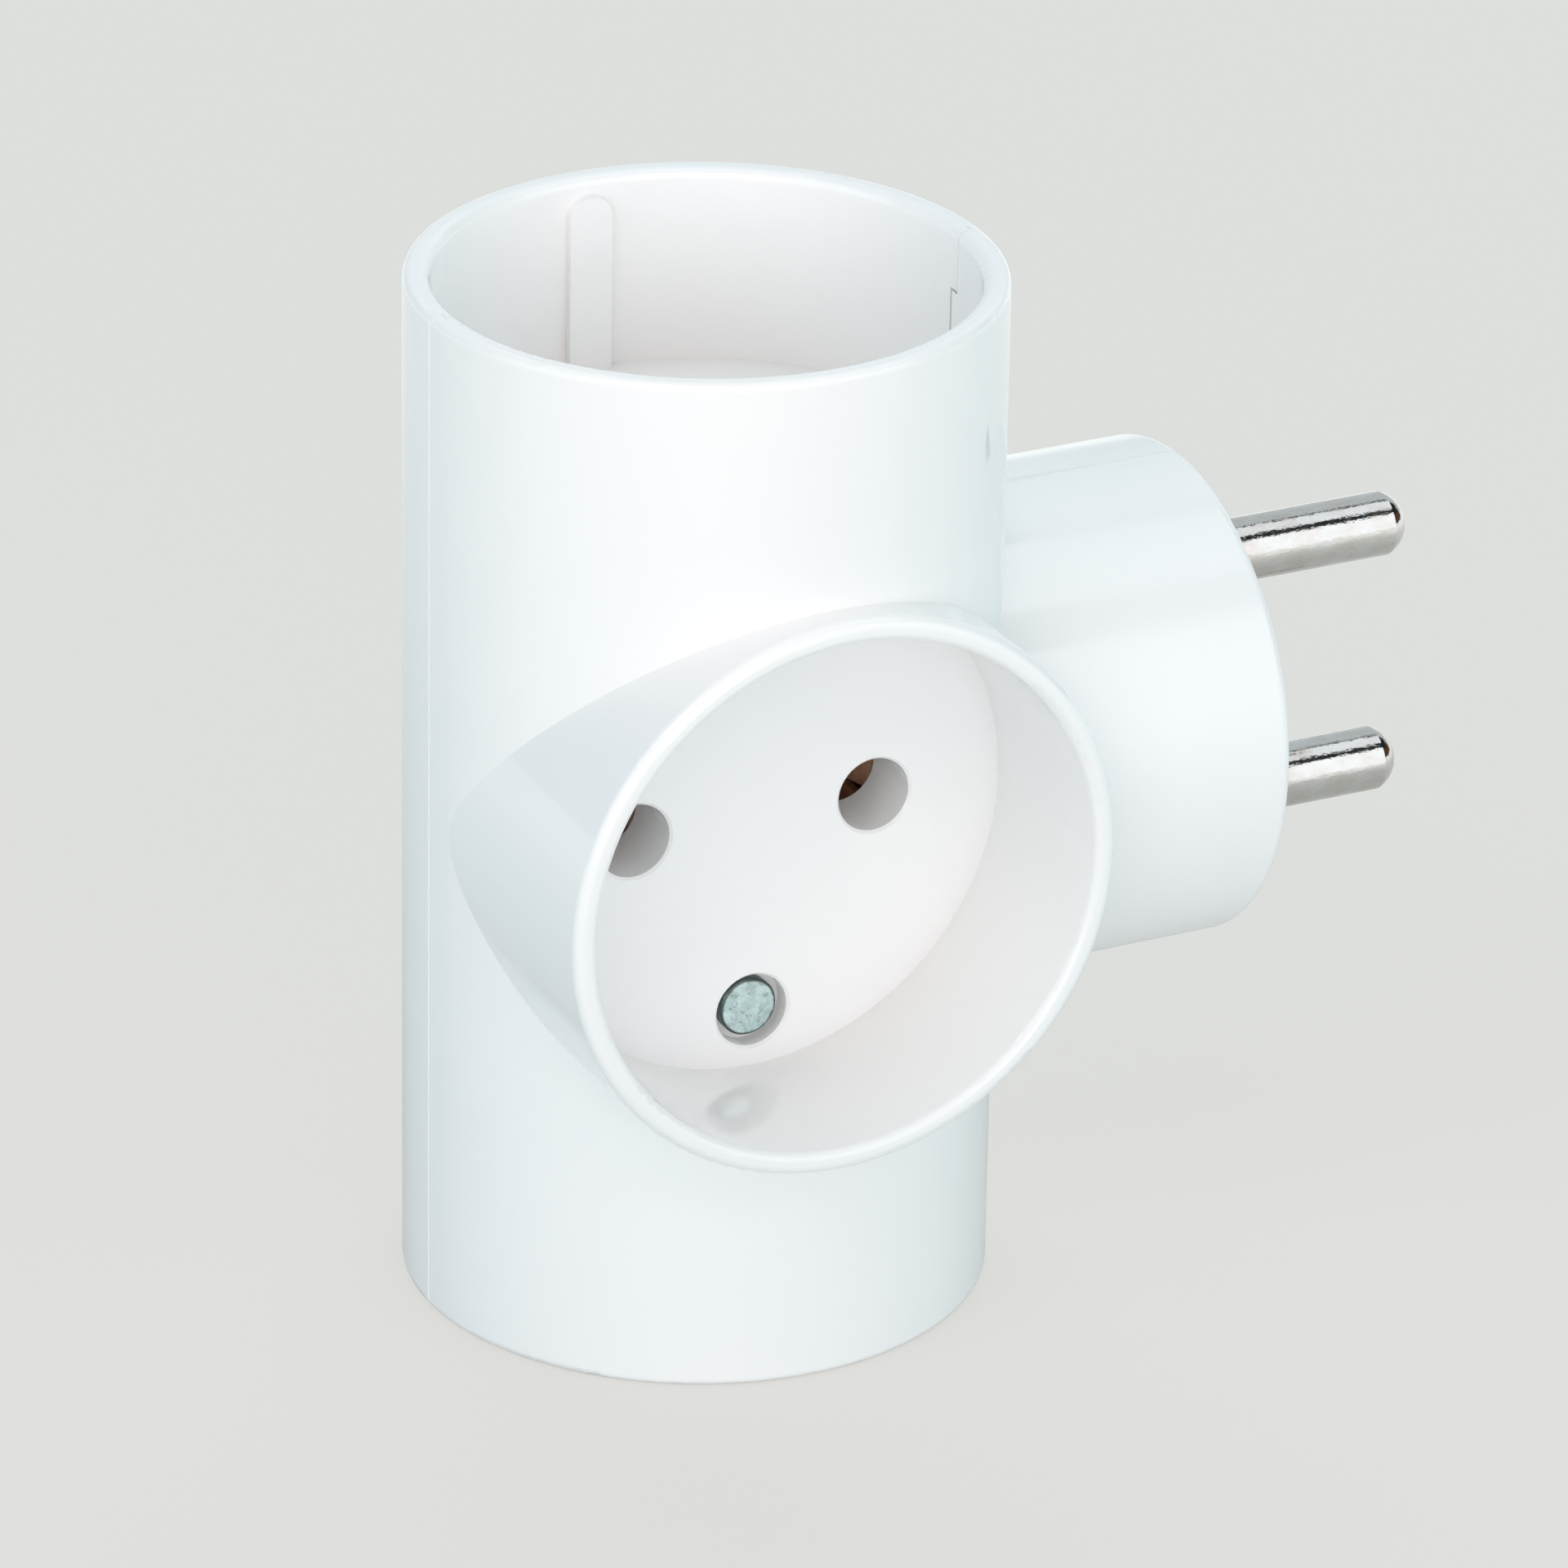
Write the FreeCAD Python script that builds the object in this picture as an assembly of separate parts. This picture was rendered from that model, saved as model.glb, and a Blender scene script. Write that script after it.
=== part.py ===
"""Three-way socket adapter: an upright tube with a socket well at each end, a side cup and a plug boss.

Millimetres. The origin is on the tube's axis, in the plane of the lower rim. +Z runs up the tube, +X along
the plug pins and -Y out of the side cup. The two half shells part on the plane Y = 0.
"""
import FreeCAD, Part
import math
import os

from FreeCAD import Vector

# Poles: the plug pins and each socket's holes lie this far apart
pin_spacing = 19.0
pin_r = 2.4

# Upright tube with a well at each end
tube_r = 21.4
tube_wall = 1.9
end_well_depth = 14.7
tube_rim_round = 0.6
tube_mouth_round = 0.8

# Side socket cup, a little slimmer than the tube, with its outer wall sunk into the end wells' floors
cup_slimmer = 0.2
cup_wall = 1.7
cup_well_depth = 15.0
cup_wall_sunk = 0.4
cup_rim_round = 0.8
cup_mouth_round = 0.6

# Plug boss, reaching sideways from the tube's axis
boss_r = 18.4
boss_reach = 38.4
boss_wall = 2.0
boss_end_wall = 2.4
boss_edge_round = 0.7

# Well floors, and the socket holes with the collars that guide a pin behind them
floor_thickness = 3.2
socket_hole_gap = 0.4
socket_hole_depth = 5.7
socket_hole_lead = 0.2
collar_wall = 1.4
side_collar_to_axis = 3.3

# Keying rib on the back wall of each end well
key_rib_width = 3.3
key_rib_height = 0.8
key_rib_below_rim = 1.3

# Parting joint: a locating tab at each rim, a slit below it and a fine groove along the outside
tab_thickness = 0.95
tab_length = 4.6
tab_reach = 0.8
tab_side_gap = 0.05
tab_end_gap = 0.2
slit_width = 0.25
parting_groove = 0.12

# Plug pins
pin_length = 19.0
pin_dome = 1.7
pin_shank_step = 0.2
pin_shank_length = 15.8
pin_flange_width = 1.0
pin_flange_thickness = 1.2
pin_flange_inset = 3.6
pin_spigot_r = 1.5
pin_peen_r = 2.0
pin_peen_height = 0.8
pin_peen_bevel = 0.25

# Saddle block that clamps each pin behind the boss's end wall
saddle_length = 5.5
saddle_wall = 0.95
seat_gap = 0.05

# Rivets near the top and bottom of the side cup, with their heads sunk in the cup's floor and in the back
rivet_to_cup_wall = 4.3
rivet_r = 1.5
rivet_head_r = 2.22
rivet_head_height = 1.0
rivet_head_bevel = 0.15
rivet_front_sunk = 0.66
rivet_back_sunk = 2.8
rivet_recess_gap = 0.58
rivet_recess_lead = 0.2
rivet_pillar_wall = 1.5
rivet_seat_wall = 1.4
rivet_seat_base = 1.8

# Brass contacts: a flat web behind the pins, with a pair of spring leaves for each socket
strip_thickness = 0.6
strip_bend_r = 0.8
web_half_width = 3.0
web_pad_widening = 1.4
web_to_pin = 1.1
web_hole_gap = 0.5
leaf_pinch = 0.5
leaf_root_gap = 0.2
leaf_mouth_gap = 0.5
leaf_root_start = 3.7
leaf_root_end = 6.7
leaf_lead = 4.1
leaf_to_collar = 0.4
leaf_edge_to_collar = 0.3
side_leaf_half_height = 2.5
side_leaf_root_gap = 2.2
side_leaf_mouth_gap = 0.2
side_leaf_lead = 2.7
arm_width = 4.6
arm_to_pillar = 0.5
arm_step_back = 4.5
arm_jog_start = 8.0
arm_jog_run = 4.0
terminal_margin = 0.8
terminal_front_margin = 1.1
terminal_run = 3.0

# Ribs that hold the contacts: cradles and an arm rest in the back shell, keepers behind the cup's floor
rib_thickness = 1.4
cradle_from_mouth = 1.2
cradle_cheek = 1.9
cradle_lug = 0.8
web_gap = 0.1
keeper_from_crest = 2.2
keeper_past_leaf = 0.3
keeper_gap = 0.2
arm_rest_x = 6.0
arm_rest_half_height = 4.0

# Worked out from the sizes above
cup_r = tube_r - cup_slimmer
mid_z = end_well_depth + floor_thickness + cup_r - cup_wall_sunk
tube_height = 2 * mid_z
cup_reach = side_collar_to_axis + socket_hole_depth + cup_well_depth
pole_x = pin_spacing / 2
socket_hole_r = pin_r + socket_hole_gap
pin_shank_r = pin_r + pin_shank_step
pin_flange_r = pin_shank_r + pin_flange_width
well_r = tube_r - tube_wall
cup_well_r = cup_r - cup_wall
boss_bore_r = boss_r - boss_wall
cup_floor_y = -cup_reach + cup_well_depth
cup_floor_back = cup_floor_y + floor_thickness
boss_end_inside = boss_reach - boss_end_wall
end_floor_inside = end_well_depth + floor_thickness
side_collar_y = -side_collar_to_axis
rivet_offset = cup_well_r - rivet_to_cup_wall
rivet_recess_r = rivet_head_r + rivet_recess_gap
rivet_pillar_r = rivet_r + rivet_pillar_wall
terminal_face = boss_reach - pin_shank_length
half_strip = strip_thickness / 2
web_y = pin_r + web_to_pin + half_strip
leaf_front = side_collar_y + leaf_edge_to_collar
leaf_back = pin_r
leaf_grip = pin_r - leaf_pinch + half_strip
leaf_root = pin_r + leaf_root_gap + half_strip
leaf_mouth = mid_z - end_well_depth - socket_hole_depth - leaf_to_collar
leaf_crest = leaf_mouth - leaf_lead
overlap = 1.0

SIDEWAYS = Vector(1, 0, 0)
BACKWARD = Vector(0, 1, 0)
UPWARD = Vector(0, 0, 1)

# Each socket: the turn about X that aims local +Z out of it, the centre of its rim plane and its well
sockets = {
    "top": (0, Vector(0, 0, tube_height), end_well_depth),
    "bottom": (180, Vector(0, 0, 0), end_well_depth),
    "side": (90, Vector(0, -cup_reach, mid_z), cup_well_depth),
}


def cylinder(radius, start, direction, length):
    return Part.makeCylinder(radius, length, start, direction)


def box(x_range, y_range, z_range):
    low = Vector(x_range[0], y_range[0], z_range[0])
    return Part.makeBox(x_range[1] - x_range[0], y_range[1] - y_range[0], z_range[1] - z_range[0], low)


def around(centre, half):
    return (centre - half, centre + half)


def circle_edges(shape, radius, direction, station):
    """The shape's circular edges of this radius whose centre lies at this distance along the direction."""
    found = []
    for edge in shape.Edges:
        curve = edge.Curve
        if not isinstance(curve, Part.Circle) or abs(curve.Radius - radius) > 1e-6:
            continue
        if abs(curve.Center.dot(direction) - station) < 1e-6:
            found.append(edge)
    return found


def at_socket(shape, name):
    """Move a shape from a socket's own frame, with its rim plane at Z = 0, to its place."""
    angle, rim, _ = sockets[name]
    placed = shape.copy()
    placed.rotate(Vector(0, 0, 0), SIDEWAYS, angle)
    placed.translate(rim)
    return placed


def revolved(edges):
    face = Part.Face(Part.Wire(edges))
    return face.revolve(Vector(0, 0, 0), UPWARD, 360)


def line(start, end):
    return Part.LineSegment(start, end).toShape()


def arc(start, middle, end):
    return Part.Arc(start, middle, end).toShape()


def housing_outside():
    tube = cylinder(tube_r, Vector(0, 0, 0), UPWARD, tube_height)
    rims = circle_edges(tube, tube_r, UPWARD, 0) + circle_edges(tube, tube_r, UPWARD, tube_height)
    tube = tube.makeFillet(tube_rim_round, rims)
    boss = cylinder(boss_r, Vector(0, 0, mid_z), SIDEWAYS, boss_reach)
    boss = boss.makeFillet(boss_edge_round, circle_edges(boss, boss_r, SIDEWAYS, boss_reach))
    cup = cylinder(cup_r, Vector(0, 0, mid_z), -BACKWARD, cup_reach)
    cup = cup.makeFillet(cup_rim_round, circle_edges(cup, cup_r, BACKWARD, -cup_reach))
    return tube.fuse([boss, cup])


def well_space(radius, depth, mouth_round):
    """The hollow of a socket well, with its mouth rounded outward at the rim."""
    quarter = mouth_round * (1 - math.sqrt(0.5))
    corners = [
        Vector(0, 0, -depth),
        Vector(radius, 0, -depth),
        Vector(radius, 0, -mouth_round),
        Vector(radius + mouth_round, 0, 0),
        Vector(radius + mouth_round, 0, overlap),
        Vector(0, 0, overlap),
    ]
    middle = Vector(radius + quarter, 0, -quarter)
    edges = [line(corners[0], corners[1]), line(corners[1], corners[2])]
    edges.append(arc(corners[2], middle, corners[3]))
    edges += [line(corners[3], corners[4]), line(corners[4], corners[5]), line(corners[5], corners[0])]
    return revolved(edges)


def socket_wells():
    end_well = well_space(well_r, end_well_depth, tube_mouth_round)
    side_well = well_space(cup_well_r, cup_well_depth, cup_mouth_round)
    return [at_socket(end_well, "top"), at_socket(end_well, "bottom"), at_socket(side_well, "side")]


def tube_cavity(radius):
    return cylinder(radius, Vector(0, 0, end_floor_inside), UPWARD, tube_height - 2 * end_floor_inside)


def boss_cavity(radius):
    return cylinder(radius, Vector(0, 0, mid_z), SIDEWAYS, boss_end_inside)


def cup_block():
    """The side cup's outer form down to the back of its floor, which the cavity goes round."""
    return cylinder(cup_r, Vector(0, cup_floor_back, mid_z), -BACKWARD, cup_reach + cup_floor_back)


def socket_collars():
    shapes = []
    for name, (_, _, depth) in sockets.items():
        for x in (-pole_x, pole_x):
            top = Vector(x, 0, -depth - floor_thickness + overlap)
            length = socket_hole_depth - floor_thickness + overlap
            collar = cylinder(socket_hole_r + collar_wall, top, -UPWARD, length)
            shapes.append(at_socket(collar, name))
    return shapes


def socket_holes():
    shapes = []
    for name, (_, _, depth) in sockets.items():
        for x in (-pole_x, pole_x):
            floor = Vector(x, 0, -depth)
            hole = cylinder(socket_hole_r, floor, -UPWARD, socket_hole_depth)
            wide = socket_hole_r + socket_hole_lead
            lead = Part.makeCone(wide, socket_hole_r, socket_hole_lead, floor, -UPWARD)
            shapes.append(at_socket(hole.fuse(lead), name))
    return shapes


def pin_saddles():
    """Blocks across the boss's bore, behind its end wall, one at each pin."""
    inside = boss_cavity(boss_bore_r + overlap / 2)
    shapes = []
    for z in (mid_z - pole_x, mid_z + pole_x):
        reach = (boss_end_inside - saddle_length, boss_end_inside)
        block = box(reach, around(0, boss_r), around(z, pin_flange_r + seat_gap + saddle_wall))
        shapes.append(block.common(inside))
    return shapes


def pin_seats():
    """Holes for the pins' shanks through saddles and end wall, with a groove for each flange."""
    groove_start = boss_reach - pin_flange_inset - pin_flange_thickness - seat_gap
    groove_length = pin_flange_thickness + 2 * seat_gap
    start_x = boss_end_inside - saddle_length - overlap
    shapes = []
    for z in (mid_z - pole_x, mid_z + pole_x):
        shank_length = boss_reach + overlap - start_x
        shank = cylinder(pin_shank_r + seat_gap, Vector(start_x, 0, z), SIDEWAYS, shank_length)
        groove = cylinder(pin_flange_r + seat_gap, Vector(groove_start, 0, z), SIDEWAYS, groove_length)
        shapes += [shank, groove]
    return shapes


def rivet_heights():
    return (mid_z - rivet_offset, mid_z + rivet_offset)


def rivet_front_seat():
    return cup_floor_y + rivet_front_sunk + rivet_head_height


def rivet_back_seat():
    return tube_r - rivet_back_sunk - rivet_head_height


def rivet_pillars():
    shapes = []
    for z in rivet_heights():
        front = cup_floor_back - overlap / 2
        pillar = cylinder(rivet_pillar_r, Vector(0, front, z), BACKWARD, well_r + overlap / 2 - front)
        seat_r = rivet_recess_r + rivet_seat_wall
        seat_start = rivet_back_seat() - rivet_seat_base
        seat = cylinder(seat_r, Vector(0, seat_start, z), BACKWARD, well_r + overlap / 2 - seat_start)
        shapes += [pillar, seat]
    return shapes


def rivet_holes():
    """The rivets' holes, with recesses for their heads in the cup's floor and in the back of the tube."""
    front, back = rivet_front_seat(), rivet_back_seat()
    wide = rivet_recess_r + rivet_recess_lead
    shapes = []
    for z in rivet_heights():
        floor = Vector(0, cup_floor_y, z)
        shapes.append(cylinder(rivet_r + seat_gap, Vector(0, front, z), BACKWARD, back - front))
        shapes.append(cylinder(rivet_recess_r, floor, BACKWARD, front - cup_floor_y))
        shapes.append(Part.makeCone(wide, rivet_recess_r, rivet_recess_lead, floor, BACKWARD))
        shapes.append(cylinder(rivet_recess_r, Vector(0, back, z), BACKWARD, tube_r + overlap - back))
    return shapes


def cradle_ribs():
    """Ribs across the back shell, notched for each contact's web."""
    inside = cylinder(well_r + overlap / 2, Vector(0, 0, 0), UPWARD, tube_height)
    web_back = web_y + half_strip
    front = web_back - strip_thickness - cradle_lug
    notch_half = web_half_width + web_gap
    offset = leaf_mouth - cradle_from_mouth
    shapes = []
    for centre in (mid_z - offset, mid_z + offset):
        level = around(centre, rib_thickness / 2)
        for x in (-pole_x, pole_x):
            rib = box(around(x, notch_half + cradle_cheek), (front, tube_r), level).common(inside)
            notch = box(around(x, notch_half), (front, web_back + seat_gap), level)
            shapes.append(rib.cut(notch))
    return shapes


def arm_rest():
    """A rib that backs the lower pole's arm where it passes behind the upper pole's web."""
    inside = cylinder(well_r + overlap / 2, Vector(0, 0, 0), UPWARD, tube_height)
    front = web_y + arm_step_back + half_strip + seat_gap
    level = around(mid_z - arm_offset(), arm_rest_half_height)
    rib = box(around(arm_rest_x, rib_thickness / 2), (front, tube_r), level)
    return rib.common(inside)


def keeper_ribs():
    """Low ribs on the back of the cup's floor, just ahead of the leaves' front edges."""
    shapes = []
    depth = (cup_floor_back - overlap / 2, leaf_front - keeper_gap)
    half = leaf_root + half_strip + keeper_past_leaf
    offset = leaf_crest - keeper_from_crest
    for centre in (mid_z - offset, mid_z + offset):
        for x in (-pole_x, pole_x):
            level = around(centre, rib_thickness / 2)
            shapes.append(box(around(x, half), depth, level))
    return shapes


def key_rib():
    """The raised strip in an end well, in the socket's frame, with its rounded end towards the rim."""
    half = key_rib_width / 2
    shoulder = -key_rib_below_rim - half
    foot = -end_well_depth - overlap / 2
    inner = well_r - key_rib_height
    points = [
        Vector(-half, inner, foot),
        Vector(half, inner, foot),
        Vector(half, inner, shoulder),
        Vector(-half, inner, shoulder),
    ]
    edges = [line(points[0], points[1]), line(points[1], points[2])]
    edges.append(arc(points[2], Vector(0, inner, -key_rib_below_rim), points[3]))
    edges.append(line(points[3], points[0]))
    return Part.Face(Part.Wire(edges)).extrude(BACKWARD * (key_rib_height + tube_wall / 2))


def key_ribs():
    """Both ribs stand on the back wall: the lower one is the upper one mirrored about the mid height."""
    upper = at_socket(key_rib(), "top")
    lower = upper.mirror(Vector(0, 0, mid_z), UPWARD)
    return [upper, lower]


def joint_zones(y_range, length_range, thickness):
    """The inner part of the tube's wall at the parting plane, within these distances from either rim."""
    ring = cylinder(well_r + thickness, Vector(0, 0, 0), UPWARD, tube_height)
    start, end = length_range
    shapes = []
    for side in ((-tube_r, -well_r / 2), (well_r / 2, tube_r)):
        shapes.append(ring.common(box(side, y_range, (start, end))))
        shapes.append(ring.common(box(side, y_range, (tube_height - end, tube_height - start))))
    return shapes


def parting_grooves():
    """Square bars on edge along the outside of the parting plane, which leave a V in both shells."""
    side = parting_groove * math.sqrt(2)

    def bar(start, direction, length):
        square = Part.makeBox(side, side, length, Vector(-side / 2, -side / 2, 0))
        square.rotate(Vector(0, 0, 0), UPWARD, 45)
        move = FreeCAD.Placement(start, FreeCAD.Rotation(UPWARD, direction))
        square.Placement = move.multiply(square.Placement)
        return square

    below_boss = mid_z - boss_r
    bars = [
        bar(Vector(-tube_r, 0, 0), UPWARD, tube_height),
        bar(Vector(tube_r, 0, 0), UPWARD, below_boss),
        bar(Vector(tube_r, 0, mid_z + boss_r), UPWARD, below_boss),
        bar(Vector(boss_reach, 0, below_boss), UPWARD, 2 * boss_r),
    ]
    for z in (mid_z - boss_r, mid_z + boss_r):
        bars.append(bar(Vector(tube_r, 0, z), SIDEWAYS, boss_reach - tube_r))
    return bars


def housing():
    """The whole housing before it is parted, hollow inside, with the ribs and pillars of both halves."""
    cavity = tube_cavity(well_r).fuse(boss_cavity(boss_bore_r)).cut(cup_block())
    shell = housing_outside().cut(socket_wells() + [cavity])
    ribs = pin_saddles() + rivet_pillars() + cradle_ribs() + keeper_ribs() + key_ribs() + [arm_rest()]
    shell = shell.fuse(socket_collars() + ribs)
    return shell.cut(socket_holes() + pin_seats() + rivet_holes())


def shells():
    """Part the housing into its front and back shell, with the joint between them."""
    whole = housing()
    reach = 2 * boss_reach
    front = whole.common(box(around(0, reach), (-reach, 0), (-overlap, tube_height + overlap)))
    back = whole.common(box(around(0, reach), (0, reach), (-overlap, tube_height + overlap)))
    tabs = joint_zones((-tab_reach, 0), (0, tab_length), tab_thickness)
    notch_length = (0, tab_length + tab_end_gap)
    notches = joint_zones((-tab_reach - tab_side_gap, 0), notch_length, tab_thickness + tab_side_gap)
    slits = joint_zones((0, slit_width), (tab_length, end_well_depth), tab_thickness)
    tab_stock = [whole.common(tab) for tab in tabs]
    front = front.cut(notches + parting_grooves())
    back = back.fuse(tab_stock).cut(slits + parting_grooves())
    return front.removeSplitter(), back.removeSplitter()


def plug_pin(z):
    """A solid pin: domed end, plain length, clamped shank with a flange, and a spigot peened on a contact."""
    tip = boss_reach + pin_length
    shoulder = tip - pin_dome
    dome_r = (pin_r ** 2 + pin_dome ** 2) / (2 * pin_dome)
    dome_angle = math.asin(pin_r / dome_r) / 2
    flange_end = boss_reach - pin_flange_inset
    flange_start = flange_end - pin_flange_thickness
    peen_face = terminal_face - strip_thickness
    corners = [
        (peen_face - pin_peen_height, 0),
        (peen_face - pin_peen_height, pin_peen_r - pin_peen_bevel),
        (peen_face - pin_peen_height + pin_peen_bevel, pin_peen_r),
        (peen_face, pin_peen_r),
        (peen_face, pin_spigot_r),
        (terminal_face, pin_spigot_r),
        (terminal_face, pin_shank_r),
        (flange_start, pin_shank_r),
        (flange_start, pin_flange_r),
        (flange_end, pin_flange_r),
        (flange_end, pin_shank_r),
        (boss_reach, pin_shank_r),
        (boss_reach, pin_r),
        (shoulder, pin_r),
    ]
    points = [Vector(x, 0, r) for x, r in corners]
    edges = [line(a, b) for a, b in zip(points, points[1:])]
    dome_centre = tip - dome_r
    middle = Vector(dome_centre + dome_r * math.cos(dome_angle), 0, dome_r * math.sin(dome_angle))
    end = Vector(tip, 0, 0)
    edges += [arc(points[-1], middle, end), line(end, points[0])]
    pin = Part.Face(Part.Wire(edges)).revolve(Vector(0, 0, 0), SIDEWAYS, 360)
    pin.translate(Vector(0, 0, z))
    return pin


def rivet(z):
    front, back = rivet_front_seat(), rivet_back_seat()
    shank = cylinder(rivet_r, Vector(0, front, z), BACKWARD, back - front)
    heads = []
    for seat, outward in ((front, -BACKWARD), (back, BACKWARD)):
        head = cylinder(rivet_head_r, Vector(0, seat, z), outward, rivet_head_height)
        rim = circle_edges(head, rivet_head_r, outward, outward.y * seat + rivet_head_height)
        heads.append(head.makeChamfer(rivet_head_bevel, rim))
    return shank.fuse(heads).removeSplitter()


def bent_sheet(path, to_space, extrusion):
    """A strip of sheet, bent along a path of 2D points with round bends and drawn out along its width.

    to_space turns a 2D point into the Vector where the strip's width begins.
    """
    sides = {half_strip: [], -half_strip: []}
    for offset, edges in sides.items():
        here = offset_point(path[0], path[0], path[1], offset)
        for before, corner, after in zip(path, path[1:], path[2:]):
            turn = bend(before, corner, after, offset)
            edges.append(line(to_space(*here), to_space(*turn[0])))
            edges.append(arc(*[to_space(*point) for point in turn]))
            here = turn[2]
        edges.append(line(to_space(*here), to_space(*offset_point(path[-1], path[-2], path[-1], offset))))
    ends = []
    for point, a, b in ((path[0], path[0], path[1]), (path[-1], path[-2], path[-1])):
        caps = [to_space(*offset_point(point, a, b, offset)) for offset in sides]
        ends.append(line(*caps))
    wire = Part.Wire(Part.__sortEdges__(sides[half_strip] + sides[-half_strip] + ends))
    return Part.Face(wire).extrude(extrusion)


def heading(a, b):
    length = math.hypot(b[0] - a[0], b[1] - a[1])
    return ((b[0] - a[0]) / length, (b[1] - a[1]) / length)


def offset_point(point, a, b, offset):
    """The point moved to the left of the run from a to b."""
    along = heading(a, b)
    return (point[0] - along[1] * offset, point[1] + along[0] * offset)


def bend(before, corner, after, offset):
    """Start, middle and end of the arc that rounds a corner of the path, on the side at this offset."""
    first, second = heading(before, corner), heading(corner, after)
    cross = first[0] * second[1] - first[1] * second[0]
    dot = first[0] * second[0] + first[1] * second[1]
    turn = math.atan2(cross, dot)
    sign = math.copysign(1, turn)
    cut = strip_bend_r * math.tan(abs(turn) / 2)
    start = (corner[0] - first[0] * cut, corner[1] - first[1] * cut)
    end = (corner[0] + second[0] * cut, corner[1] + second[1] * cut)
    centre = offset_point(start, before, corner, sign * strip_bend_r)
    radius = strip_bend_r - sign * offset
    outward = heading(centre, corner)
    middle = (centre[0] + outward[0] * radius, centre[1] + outward[1] * radius)
    return (offset_point(start, before, corner, offset), middle, offset_point(end, corner, after, offset))


def end_leaves(direction):
    """The pair of leaves for an end socket, above (1) or below (-1) the mid height, about the pole's axis."""
    low, high = sorted((direction * leaf_root_start, direction * leaf_root_end))
    fold = [(-leaf_root, leaf_front), (-leaf_root, web_y), (leaf_root, web_y), (leaf_root, leaf_front)]
    shapes = [bent_sheet(fold, lambda x, y: Vector(x, y, low), UPWARD * (high - low))]
    for side in (-1, 1):
        leaf = [
            (side * leaf_root, direction * leaf_root_start),
            (side * leaf_root, direction * leaf_root_end),
            (side * leaf_grip, direction * leaf_crest),
            (side * (pin_r + leaf_mouth_gap + half_strip), direction * leaf_mouth),
        ]
        width = BACKWARD * (leaf_back - leaf_front)
        shapes.append(bent_sheet(leaf, lambda x, z: Vector(x, leaf_front, z), width))
    return shapes


def side_leaves():
    """The pair of leaves for the side socket, folded forward from the web's pad on both sides of its hole."""
    root = pin_r + side_leaf_root_gap + half_strip
    mouth = side_collar_y + leaf_to_collar
    shapes = []
    for side in (-1, 1):
        leaf = [
            (side * web_half_width, web_y),
            (side * root, web_y),
            (side * leaf_grip, mouth + side_leaf_lead),
            (side * (pin_r + side_leaf_mouth_gap + half_strip), mouth),
        ]
        width = UPWARD * (2 * side_leaf_half_height)
        shapes.append(bent_sheet(leaf, lambda x, y: Vector(x, y, -side_leaf_half_height), width))
    return shapes


def contact_body():
    """What both poles share, about the point where the pole's axis crosses the mid height."""
    depth = around(web_y, half_strip)
    web = box(around(0, web_half_width), depth, around(0, leaf_mouth))
    pad = box(around(0, web_half_width + web_pad_widening), depth, around(0, side_leaf_half_height))
    body = web.fuse([pad] + end_leaves(1) + end_leaves(-1) + side_leaves())
    eye = cylinder(pin_r + web_hole_gap, Vector(0, 0, 0), BACKWARD, tube_r)
    return body.cut(eye)


def arm_offset():
    """How far from the mid height an arm's centre lies: just inside the rivet's pillar."""
    return rivet_offset - rivet_pillar_r - arm_to_pillar - arm_width / 2


def pole_contact(x, direction, path):
    """A contact at the pole x, with an arm along the path to the pin above (1) or below (-1) the mid height.

    The path's last three points are the terminal, which is centred on the pin and peened under it.
    """
    body = contact_body()
    body.translate(Vector(x, 0, mid_z))
    arm_low = mid_z + direction * arm_offset() - arm_width / 2
    arm = bent_sheet(path, lambda px, py: Vector(px, py, arm_low), UPWARD * arm_width)
    pin_z = mid_z + direction * pole_x
    half = pin_spigot_r + terminal_margin
    corner = path[-2]
    terminal_path = [(corner[0] - terminal_run, corner[1]), corner, path[-1]]
    terminal = bent_sheet(terminal_path, lambda px, py: Vector(px, py, pin_z - half), UPWARD * (2 * half))
    hole = cylinder(pin_spigot_r, Vector(0, 0, pin_z), SIDEWAYS, boss_reach)
    return body.fuse([arm, terminal]).cut(hole).removeSplitter()


def terminal_corner():
    return terminal_face - half_strip


def terminal_front():
    return -(pin_spigot_r + terminal_front_margin)


def upper_pole_contact():
    """The right-hand pole, whose arm runs straight to the upper pin."""
    path = [(pole_x, web_y), (terminal_corner(), web_y), (terminal_corner(), terminal_front())]
    return pole_contact(pole_x, 1, path)


def lower_pole_contact():
    """The left-hand pole, whose arm passes behind the other contact to the lower pin."""
    arm_y = web_y + arm_step_back
    jog_x = -pole_x + arm_jog_start
    path = [
        (-pole_x, web_y),
        (jog_x, web_y),
        (jog_x + arm_jog_run, arm_y),
        (terminal_corner(), arm_y),
        (terminal_corner(), terminal_front()),
    ]
    return pole_contact(-pole_x, -1, path)


def build():
    front_shell, back_shell = shells()
    rivets = Part.makeCompound([rivet(z) for z in rivet_heights()])
    return {
        "front_shell": front_shell,
        "back_shell": back_shell,
        "upper_plug_pin": plug_pin(mid_z + pole_x),
        "lower_plug_pin": plug_pin(mid_z - pole_x),
        "upper_pole_contact": upper_pole_contact(),
        "lower_pole_contact": lower_pole_contact(),
        "case_rivets": rivets,
    }


os.makedirs("parts", exist_ok=True)
for node, shape in build().items():
    print(node, "solids", len(shape.Solids), "valid", shape.isValid(), "volume", round(shape.Volume, 2))
    shape.exportStep("parts/" + node + ".step")
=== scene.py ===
import math

import bmesh
import bpy
from bpy.props import FloatProperty, FloatVectorProperty, PointerProperty
from mathutils import Matrix, Vector


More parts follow.
